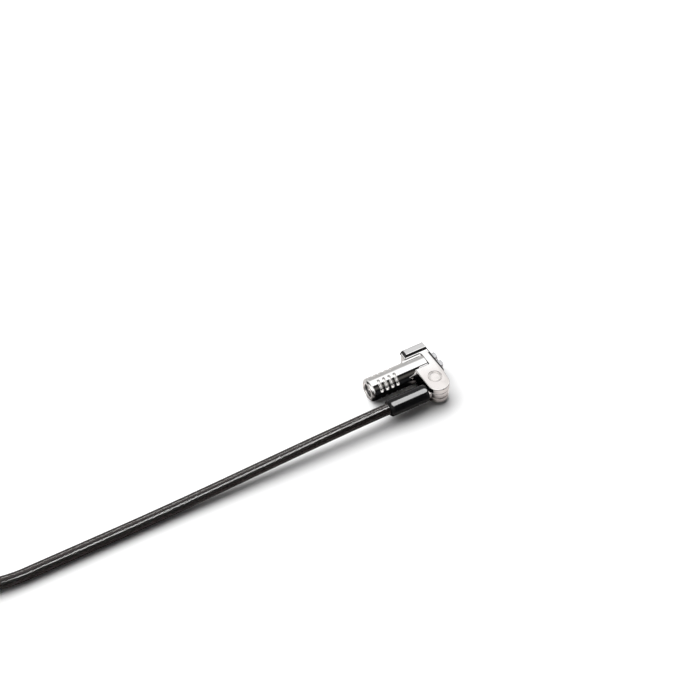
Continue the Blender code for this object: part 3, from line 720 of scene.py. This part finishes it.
def coil(turns, back, front, radius, wire, per_turn=48, sides=14):
    count = int(turns * per_turn)
    points = []
    for k in range(count + 1):
        share = k / count
        # the end coils close up against their seats
        eased = share - 0.10 * math.sin(TAU * share) / TAU
        turn = TAU * turns * share
        points.append(Vector((back + (front - back) * eased,
                              radius * math.cos(turn), radius * math.sin(turn))))
    rings = []
    for i, point in enumerate(points):
        tangent = (points[min(i + 1, count)] - points[max(i - 1, 0)]).normalized()
        outward = Vector((0.0, point.y, point.z)).normalized()
        outward = (outward - tangent * outward.dot(tangent)).normalized()
        other = tangent.cross(outward)
        scale = 1.0 if 0 < i < count else 0.55
        rings.append([
            point + (outward * math.cos(TAU * k / sides)
                     + other * math.sin(TAU * k / sides)) * wire * scale
            for k in range(sides)])
    shape = bmesh.new()
    grid_tube(shape, rings)
    return shape


spring = finish_piece(
    "return_coil", coil(turns=3.0, back=COIL_BACK, front=COIL_FRONT, radius=1.95, wire=0.19),
    SPRING, nodes=("return_spring",), angle=60.0)
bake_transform(spring)

# ------------------------------------------------------------------ core
# (station, radius): a thin drum closed at its front end
DRUM_PROFILE = [
    (-27.5, 2.55), (-27.5, 3.0), (-27.42, 3.1), (-9.4, 3.1), (-9.3, 3.0), (-9.3, 0.0),
    (-10.2, 0.0), (-10.2, 2.5), (-27.45, 2.5),
]
# (station, radius) of the pin standing on the drum's front end
CRANK_PROFILE = [(-9.6, 0.0), (-9.6, 0.35), (-6.38, 0.35), (-6.3, 0.27), (-6.3, 0.0)]
CRANK_OFFSET = 0.8 * math.cos(math.radians(45))  # in y and in z
core = carve(lathe(DRUM_PROFILE, 96), [
    (CUT, box(-26.2, -10.8, -0.6, 0.6, 2.0, 3.6)),
    (JOIN, lathe(CRANK_PROFILE, 32, "X", (CRANK_OFFSET, CRANK_OFFSET))),
])
finish_piece("core_drum", core, DARK_STEEL, "core", nodes=("lock_core",),
             angle=40.0)

# ------------------------------------------------------------------ keyway plate
KEYWAY_TILT = math.radians(-22.0)
# (station, radius)
PLATE_PROFILE = [(-27.45, 0.0), (-27.45, 2.22), (-27.41, 2.31), (-27.32, 2.35),
                 (-26.65, 2.35), (-26.65, 0.0)]


def half_moon(sense):
    outline = rounded(arc((0.0, 0.0), 2.12, 13, 167, 28), [0.18] + [0.0] * 27 + [0.18], 4)
    cosine, sine = math.cos(KEYWAY_TILT), math.sin(KEYWAY_TILT)
    turned = [(sense * (y * cosine - z * sine), sense * (y * sine + z * cosine))
              for y, z in outline]
    return prism(turned, -28.0, -26.0, "YZ")


face = finish_piece(
    "keyway_plate",
    carve(lathe(PLATE_PROFILE, 96), [(CUT, half_moon(sense)) for sense in (1, -1)]),
    KEY_FACE, "core", nodes=("keyway_disc",), angle=40.0)
soften(face, 0.06, 3, 50.0)

# ------------------------------------------------------------------ hooks
# (x, y, corner radius) from the arm out round the hook, for the far side
HOOK_TIP = [
    (1.75, 2.55, 0.15), (2.0, 3.4, 0.1), (2.2, 3.55, 0.1), (2.9, 3.55, 0.1), (3.3, 2.9, 0.3),
    (3.3, 1.1, 0.12), (3.0, 0.8, 0.12),
]
for side, word in ((1, "far"), (-1, "near")):
    outline = arc((-HOOK_PIVOT, HOOK_PIVOT), 0.95, 270, 62, 18)
    outline += rounded([(x, y) for x, y, _ in HOOK_TIP], [radius for _, _, radius in HOOK_TIP], 4)
    arm = prism([(x, side * y) for x, y in outline], -1.0, 1.0, "XY", 0.12, 3)
    bore = cylinder(-2.0, 2.0, 0.62, 40, "Z", (-HOOK_PIVOT, side * HOOK_PIVOT))
    finish_piece("hook_%s_arm" % word, carve(arm, [(CUT, bore)]), STEEL, "hook_" + word,
                 nodes=("hook_" + word,), angle=36.0, merge=0.002)

# ------------------------------------------------------------------ swivel eye
# (inset from either flat face, radius), from the axis out to the side
EYE_RIM = [(0.0, 0.0), (0.0, 3.9), (0.03, 4.03), (0.12, 4.15), (0.24, 4.22), (0.38, 4.25)]
eye_profile = [(EYE_LOW + inset, radius) for inset, radius in EYE_RIM]
eye_profile += [(EYE_HIGH - inset, radius) for inset, radius in reversed(EYE_RIM)]
eye_link = prism(rounded_rect(-2.1, 2.1, -1.18, 1.48, 0.35, 5), -5.75, -2.0, "YZ", 0.15, 3)
eye = carve(lathe(eye_profile, 120, "Z"), [
    (JOIN, eye_link),
    (CUT, cylinder(-2.0, 3.0, 1.42, 48, "Z")),
    (CUT, cylinder(-7.0, -3.4, 0.75, 32, "X", (0.0, BOOT_Z))),
])
finish_piece("swivel_eye", eye, CHROME, "knuckle", chain, nodes=("knuckle_eye",),
             angle=36.0, merge=0.003)

# ------------------------------------------------------------------ boot
BOOT_FRONT, BOOT_BACK, BOOT_R = -6.0, -21.5, 3.4
SKIRT = -5.2  # x of the lip, ahead of the boot's front wall
SHOULDER_LEN, SHOULDER_DROP = 1.5, 0.36  # rounding behind the lip
NOSE_LEN, NOSE_DROP = 1.3, 1.0  # rounding at the back end


def boot_profile():
    """(station, radius) rows: front wall, lip, rounded body, back opening and hollow."""
    rows = [(BOOT_FRONT, 0.95), (BOOT_FRONT, 2.95), (SKIRT - 0.1, 2.95), (SKIRT, 3.02)]
    front = SKIRT - SHOULDER_LEN
    for degrees in range(6, 91, 6):
        turn = math.radians(degrees)
        rows.append((front + SHOULDER_LEN * math.cos(turn),
                     BOOT_R - SHOULDER_DROP + SHOULDER_DROP * math.sin(turn)))
    rows += [(front - k * (front - BOOT_BACK - NOSE_LEN) / 14, BOOT_R) for k in range(1, 15)]
    for degrees in range(7, 91, 7):
        turn = math.radians(degrees)
        rows.append((BOOT_BACK + NOSE_LEN - NOSE_LEN * math.sin(turn),
                     BOOT_R - NOSE_DROP + NOSE_DROP * math.cos(turn)))
    rows += [(BOOT_BACK, 2.42), (BOOT_BACK + 0.05, 2.34), (BOOT_BACK + 0.12, 2.32),
             (BOOT_BACK + 0.7, 2.32), (BOOT_BACK + 0.7, 2.7), (BOOT_FRONT - 1.6, 2.7),
             (BOOT_FRONT - 1.6, 0.95)]
    return rows


boot_piece = finish_piece(
    "boot_moulding", lathe(boot_profile(), 128, "X", (0.0, BOOT_Z)), GLOSS, "cable_near",
    chain, nodes=("cable_boot",), angle=50.0)

# ------------------------------------------------------------------ cable path
ROPE_R, STRAND_R, SHEATH_R, SHEATH_IN = 1.55, 0.52, 2.2, 1.7
LAY_Z = -BARREL_R + SHEATH_R  # the cable rests level with the barrel's underside
SAG_END = -130.0
CRIMP_FRONT, CRIMP_BACK, CRIMP_WALL = -188.0, -201.0, 0.95
STRAND_Y = 2.4  # the cable's offset to either side inside the crimp
SPREAD = 24.0  # length before the crimp in which the cable rises and moves aside
LOOP_CENTRE, LOOP_R, LOOP_JOIN = -229.0, 14.0, 58.0  # the last is in degrees
PITCH, LAYS = 11.5, 6  # length of one turn of the rope; strands round the centre one


def lay_height(x):
    return BOOT_Z + (LAY_Z - BOOT_Z) * ease((BOOT_BACK - x) / (BOOT_BACK - SAG_END))


def tail_height(x):
    """Lay height, raised by the crimp's wall at the crimp and eased back down in the loop."""
    if x > CRIMP_FRONT:
        share = (CRIMP_FRONT + SPREAD - x) / SPREAD
    else:
        share = 1.0 - (CRIMP_BACK - x) / (CRIMP_BACK - LOOP_CENTRE + LOOP_R)
    return lay_height(x) + CRIMP_WALL * ease(share)


def bezier(steps, *controls):
    """Points on a cubic through four (x, y) controls, without its first point."""
    out = []
    for k in range(1, steps + 1):
        t = k / steps
        weights = ((1 - t) ** 3, 3 * t * (1 - t) ** 2, 3 * t * t * (1 - t), t ** 3)
        out.append(tuple(sum(weight * point[i] for weight, point in zip(weights, controls))
                         for i in (0, 1)))
    return out


def centre_line(start):
    """From the boot back through the crimp, round the loop and into the crimp again."""
    shift = CRIMP_FRONT + SPREAD
    points = [(x, 0.0) for x in np.linspace(start, shift, 160)]
    points += bezier(30, (shift, 0.0), (shift - 10.0, 0.0),
                     (CRIMP_FRONT + 10.0, STRAND_Y), (CRIMP_FRONT, STRAND_Y))
    leave_x = CRIMP_BACK - 2.0
    points += [(x, STRAND_Y) for x in np.linspace(CRIMP_FRONT, leave_x, 16)[1:]]
    turn = math.radians(LOOP_JOIN)
    join = (LOOP_CENTRE + LOOP_R * math.cos(turn), LOOP_R * math.sin(turn))
    lead = (join[0] + 8.0 * math.sin(turn), join[1] - 8.0 * math.cos(turn))
    points += bezier(26, (leave_x, STRAND_Y), (leave_x - 6.0, STRAND_Y), lead, join)
    points += arc((LOOP_CENTRE, 0.0), LOOP_R, LOOP_JOIN, 360.0 - LOOP_JOIN, 80)[1:]
    points += bezier(26, (join[0], -join[1]), (lead[0], -lead[1]),
                     (leave_x - 6.0, -STRAND_Y), (leave_x, -STRAND_Y))
    points += [(x, -STRAND_Y) for x in np.linspace(leave_x, CRIMP_FRONT - 1.0, 16)[1:]]
    return np.array([(x, y, tail_height(x)) for x, y in points])


def resample(line, step):
    """The line at even steps, and the length run at each point."""
    lengths = np.linalg.norm(np.diff(line, axis=0), axis=1)
    run = np.concatenate([[0.0], np.cumsum(lengths)])
    count = max(int(round(run[-1] / step)), 2)
    even = np.linspace(0.0, run[-1], count + 1)
    return np.stack([np.interp(even, run, line[:, i]) for i in range(3)], 1), even


def unit(vectors):
    return vectors / np.linalg.norm(vectors, axis=1)[:, None]


def line_frames(line):
    tangent = unit(np.gradient(line, axis=0))
    side = unit(np.cross(tangent, np.array([0.0, 0.0, 1.0])))
    return side, np.cross(side, tangent)


def tube_rings(line, side, rise, radii, phi):
    return [centre + one * (radius * np.cos(phi))[:, None] + two * (radius * np.sin(phi))[:, None]
            for centre, one, two, radius in zip(line, side, rise, radii)]


def jacket():
    """The vinyl jacket, a tube whose outside follows the lay of the rope very slightly."""
    line, run = resample(centre_line(BOOT_BACK + 0.9), 0.62)
    side, rise = line_frames(line)
    sides = 60
    phi = np.linspace(0.0, TAU, sides, endpoint=False)
    lobes = [SHEATH_R - 0.010 + 0.010 * np.cos(LAYS * (phi - TAU * length / PITCH))
             for length in run]
    shape = bmesh.new()
    outer = grid_tube(shape, tube_rings(line, side, rise, lobes, phi), caps=False)
    inner_rings = tube_rings(line, side, rise, [SHEATH_IN] * len(line), phi)
    inner = grid_tube(shape, inner_rings, caps=False)
    for end in (0, -1):
        one, two = outer[end], inner[end]
        for k in range(sides):
            n = (k + 1) % sides
            shape.faces.new((one[k], one[n], two[n], two[k]))
    return shape


def rope():
    """Six strands laid round a seventh."""
    line, run = resample(centre_line(-11.9), 0.9)
    side, rise = line_frames(line)
    phi = np.linspace(0.0, TAU, 12, endpoint=False)
    radii = [STRAND_R] * len(line)
    lay_r = ROPE_R - STRAND_R
    shape = bmesh.new()
    grid_tube(shape, tube_rings(line, side, rise, radii, phi))
    for lay in range(LAYS):
        turn = TAU * run / PITCH + TAU * lay / LAYS
        cosine, sine = np.cos(turn)[:, None], np.sin(turn)[:, None]
        wire = line + side * (lay_r * cosine) + rise * (lay_r * sine)
        tangent = unit(np.gradient(wire, axis=0))
        out = side * cosine + rise * sine
        out = unit(out - tangent * np.sum(out * tangent, axis=1)[:, None])
        grid_tube(shape, tube_rings(wire, out, np.cross(tangent, out), radii, phi))
    return shape


sheath_piece = finish_piece(
    "cable_jacket", jacket(), SHEATH, matrix=chain, nodes=("cable_sheath_a", "cable_sheath_b"),
    angle=70.0, merge=0.0)
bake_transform(sheath_piece)
rope_piece = finish_piece(
    "cable_rope", rope(), STRAND, matrix=chain, nodes=("cable_core_a", "cable_core_b"),
    angle=70.0, merge=0.0)
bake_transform(rope_piece)

# ------------------------------------------------------------------ loop crimp
CRIMP_Z = LAY_Z + CRIMP_WALL
CRIMP_R = SHEATH_R + CRIMP_WALL - 0.02
CRIMP_EDGE = 0.7
CRIMP_BANDS = (-191.4, -194.5, -197.6)  # x of the pressed bands
BAND_DEPTH, BAND_HALF = 0.22, 0.62


def crimp_sleeve():
    """A moulded sleeve: rolled ends and three shallow pressed bands."""
    oval = np.array(arc((STRAND_Y, CRIMP_Z), CRIMP_R, -90, 90, 28)
                    + arc((-STRAND_Y, CRIMP_Z), CRIMP_R, 90, 270, 28))
    spine_y = np.clip(oval[:, 0], -STRAND_Y, STRAND_Y)
    normal = unit(oval - np.stack([spine_y, np.full(len(oval), CRIMP_Z)], 1))
    edge = CRIMP_EDGE
    sections = []  # (x, inset)
    for degrees in range(0, 91, 10):
        turn = math.radians(degrees)
        sections.append((CRIMP_FRONT - edge + edge * math.cos(turn),
                         edge - edge * math.sin(turn)))
    for x in np.arange(CRIMP_FRONT - edge - 0.2, CRIMP_BACK + edge, -0.2):
        band = max(math.exp(-((x - centre) / BAND_HALF) ** 4) for centre in CRIMP_BANDS)
        sections.append((float(x), BAND_DEPTH * band))
    for degrees in range(90, -1, -10):
        turn = math.radians(degrees)
        sections.append((CRIMP_BACK + edge - edge * math.cos(turn),
                         edge - edge * math.sin(turn)))
    shape = bmesh.new()
    grid_tube(shape, [[(x, float(y), float(z)) for y, z in oval - normal * inset]
                      for x, inset in sections])
    return shape


bores = [(CUT, cylinder(CRIMP_BACK - 1.0, CRIMP_FRONT + 1.0, SHEATH_R + 0.1, 64, "X",
                        (y, CRIMP_Z))) for y in (STRAND_Y, -STRAND_Y)]
crimp_piece = finish_piece(
    "crimp_moulding", carve(crimp_sleeve(), bores), CRIMP, "cable_far", chain,
    nodes=("loop_crimp",), angle=40.0, merge=0.002)

# ------------------------------------------------------------------ CAD nodes that stay
# node: (material, rolled edge in mm)
kept = {
    "pivot_pin": (STEEL, 0.05), "hook_pin_far": (STEEL, 0.04), "hook_pin_near": (STEEL, 0.04),
    "latch_bolt": (STEEL, 0.08), "swivel_stem": (STEEL, 0.05), "thrust_washer": (STEEL, 0.05),
    "crimp_ferrule": (STEEL, 0.06), "sidebar": (STEEL, 0.06),
}
for i in range(1, 6):
    # the first disc, seen through the keyway, gets a dark brass with painted shade
    kept["disc_%d" % i] = (BRASS_SHADED if i == 1 else BRASS, 0.04)
    kept["spacer_%d" % i] = (DARK_STEEL, 0.05)
for name, (material, width) in kept.items():
    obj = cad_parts[name]
    obj.data.materials.clear()
    obj.data.materials.append(material)
    soften(obj, width, 2, 32.0)


# ------------------------------------------------------------------ floor
def floor_white():
    """Matt white; mirrored in the metal it shows painted shade instead: dark at grazing angles, a
    painted shadow under the lock and painted grey beyond its far side.
    """
    material, net = new_material("floor_white")
    drift = net.noise(net.coords(), scale=3.0, detail=2.0)
    white = net.mix(net.remap(drift, span=MIDDLE), (0.90, 0.90, 0.905), (0.915, 0.915, 0.915))
    shader = net.add("BsdfPrincipled", {
        "Base Color": white, "Roughness": 0.9, "Specular IOR Level": 0.0})
    # painted shade in reflections: the floor seen by glossy rays darkens towards grazing views
    steep = net.axes(net.add("NewGeometry").outputs["Incoming"])["Z"]
    tone = net.mix(net.remap(steep, span=(0.42, 0.70)),
                   (0.05, 0.046, 0.045), (0.66, 0.615, 0.600))
    x, y, _ = net.axes(net.add("NewGeometry").outputs["Position"])
    # painted shadow: nearly black in a patch under the lock; painted grey shade beyond its far
    # side
    painted_shadow_patch = net.product(
        net.remap(x, span=(0.017, 0.020), to=(1.0, 0.0)),
        net.remap(y, span=(0.002, -0.003)),
        net.remap(y, span=(-0.018, -0.014)),
        net.remap(x, span=(-0.012, -0.004)))
    tone = net.mix(painted_shadow_patch, tone, (0.004, 0.004, 0.004))
    tone = net.mix(net.remap(y, span=(0.0045, 0.009)), tone, (0.44, 0.43, 0.42))
    mirrored = net.add("BsdfDiffuse", {"Color": tone})
    glossy_ray = net.add("LightPath").outputs["Is Glossy Ray"]
    net.surface(net.mix_shader(glossy_ray, shader, mirrored))
    return material


floor_shape = bmesh.new()
bmesh.ops.create_grid(floor_shape, x_segments=24, y_segments=24, size=2.2)
floor_mesh = bpy.data.meshes.new("floor")
floor_shape.to_mesh(floor_mesh)
floor_shape.free()
floor = bpy.data.objects.new("floor", floor_mesh)
floor.location = (0.0, 0.0, cad_low.z - 0.00002)
bpy.context.scene.collection.objects.link(floor)
floor_mesh.materials.append(floor_white())

# ------------------------------------------------------------------ studio
# Reflections see a soft white surround with dark flags. Degrees are counted about X from the
# far horizon, over the top, to the near horizon. Levels are halved in the ramps and doubled
# again by the strength.
GAIN = 2.0
# (degrees, level, warmth) inside the window, with its dark flag
FLAGGED = [
    (0, 0.50, 0.98), (34, 0.50, 0.98), (42, 0.62, 0.98), (46, 0.72, 0.98), (49, 1.16, 1.0),
    (60, 1.22, 1.0), (103, 1.5, 1.0), (108, 0.02, 1.0), (123, 0.010, 1.0), (129, 0.06, 0.86),
    (142, 0.10, 0.86), (152, 0.04, 0.9), (159, 0.006, 1.0), (180, 0.006, 1.0),
]
# (degrees, level) in every other direction
AROUND = [(0, 0.45), (30, 0.75), (60, 1.1), (98, 1.35), (112, 0.34), (124, 0.30), (136, 1.0),
          (158, 0.62), (180, 0.34)]


def build_world():
    world = bpy.data.worlds.new("studio")
    bpy.context.scene.world = world
    net = Net(world, "OutputWorld")
    x, y, z = net.axes(net.add("TexCoord").outputs["Generated"])
    turn = net.maths("DIVIDE", net.maths("ARCTAN2", z, y), math.pi)
    flagged = net.ramp(turn, [
        (degrees, (level / GAIN, level / GAIN * (1.0 + warmth) / 2, level / GAIN * warmth))
        for degrees, level, warmth in FLAGGED])
    # strength falls off towards -X, comes back at its very end, and is full on a grey card
    strength = net.product(
        net.maths("ADD", net.remap(x, span=(-0.66, -0.48), to=(0.05, 1.0)),
                  net.remap(x, span=(-0.80, -0.86), to=(0.0, 0.95))), GAIN)
    card = net.product(
        net.remap(x, span=(-0.06, -0.14)),
        net.remap(turn, span=(0.50, 0.56)),
        net.remap(turn, span=(0.82, 0.88), to=(1.0, 0.0)))
    strength = net.maths("MAXIMUM", strength, net.product(card, GAIN))
    # what lights the scene: brighter from the far side and from above
    across = net.maths("ADD", y, net.product(x, -0.2))
    soft = net.product(net.remap(across, span=(-0.02, 0.60), to=(0.06, 5.2)),
                       net.remap(z, span=(0.15, 0.60), to=(0.2, 1.0)))
    lit = net.add("Background", {"Color": (1.0, 1.0, 1.0), "Strength": soft})
    around = net.ramp(turn, [
        (degrees, (level / GAIN, level / GAIN, level / GAIN * 0.99)) for degrees, level in AROUND])
    window = net.product(net.remap(x, span=(0.19, 0.28)),
                         net.remap(x, span=(0.395, 0.45), to=(1.0, 0.0)))
    colour = net.mix(card, net.mix(window, around, flagged), (0.62, 0.61, 0.60))
    seen = net.add("Background", {"Color": colour, "Strength": strength})
    plain = net.add("Background", {"Color": (1.0, 1.0, 1.0), "Strength": 1.1})
    ray = net.add("LightPath").outputs
    indirect = net.mix_shader(ray["Is Glossy Ray"], lit, seen)
    net.surface(net.mix_shader(ray["Is Camera Ray"], indirect, plain))


build_world()

PANEL_DISTANCE = 1.2


def panel_light(name, direction, size, radiance, receivers, aim=(0.0, 0.0, 0.0),
                shape="RECTANGLE"):
    """A large soft panel, in `direction` from `aim`, that only its receivers see."""
    data = bpy.data.lights.new(name, "AREA")
    data.shape = shape
    data.size, data.size_y = size
    data.energy = radiance * math.pi * size[0] * size[1]
    obj = bpy.data.objects.new(name, data)
    bpy.context.scene.collection.objects.link(obj)
    toward = Vector(direction).normalized()
    obj.location = Vector(aim) + toward * PANEL_DISTANCE
    obj.rotation_mode = "QUATERNION"
    obj.rotation_quaternion = (-toward).to_track_quat("-Z", "Y")
    group = bpy.data.collections.new(name + "_receivers")
    for receiver in receivers:
        group.objects.link(receiver)
    obj.light_linking.receiver_collection = group
    obj.visible_diffuse = False
    obj.visible_camera = False


CABLE_AIM = (-0.08, -0.012, 0.0)
panel_light("boot_panel", direction=(0.325, -0.10, 0.94), size=(1.15, 1.36), radiance=27.0,
            receivers=[boot_piece, crimp_piece], shape="ELLIPSE")
panel_light("cable_panel", direction=(0.325, -0.22, 0.92), size=(1.6, 0.32), radiance=19.0,
            receivers=[sheath_piece], aim=CABLE_AIM)
panel_light("cable_edge", direction=(0.325, 0.62, 0.71), size=(1.6, 0.26), radiance=8.0,
            receivers=[sheath_piece], aim=CABLE_AIM)

# ------------------------------------------------------------------ camera
CAMERA_PLACE = (-0.16638, -0.28506, 0.39265)
# the camera's own right, up and backward directions
CAMERA_AXES = (
    (0.87119817, -0.49089273, -0.0061704),
    (0.36991815, 0.64813493, 0.66564381),
    (-0.32276046, -0.58219021, 0.74624409),
)
cam_data = bpy.data.cameras.new("camera")
camera = bpy.data.objects.new("camera", cam_data)
bpy.context.scene.collection.objects.link(camera)
turned = Matrix(CAMERA_AXES).transposed().to_4x4()
camera.matrix_world = Matrix.Translation(CAMERA_PLACE) @ turned
cam_data.sensor_width = 36.0
cam_data.lens = 69.84874286
cam_data.clip_start, cam_data.clip_end = 0.01, 20.0
bpy.context.scene.camera = camera
bpy.context.scene.view_settings.view_transform = "Standard"
bpy.context.scene.view_settings.look = "None"
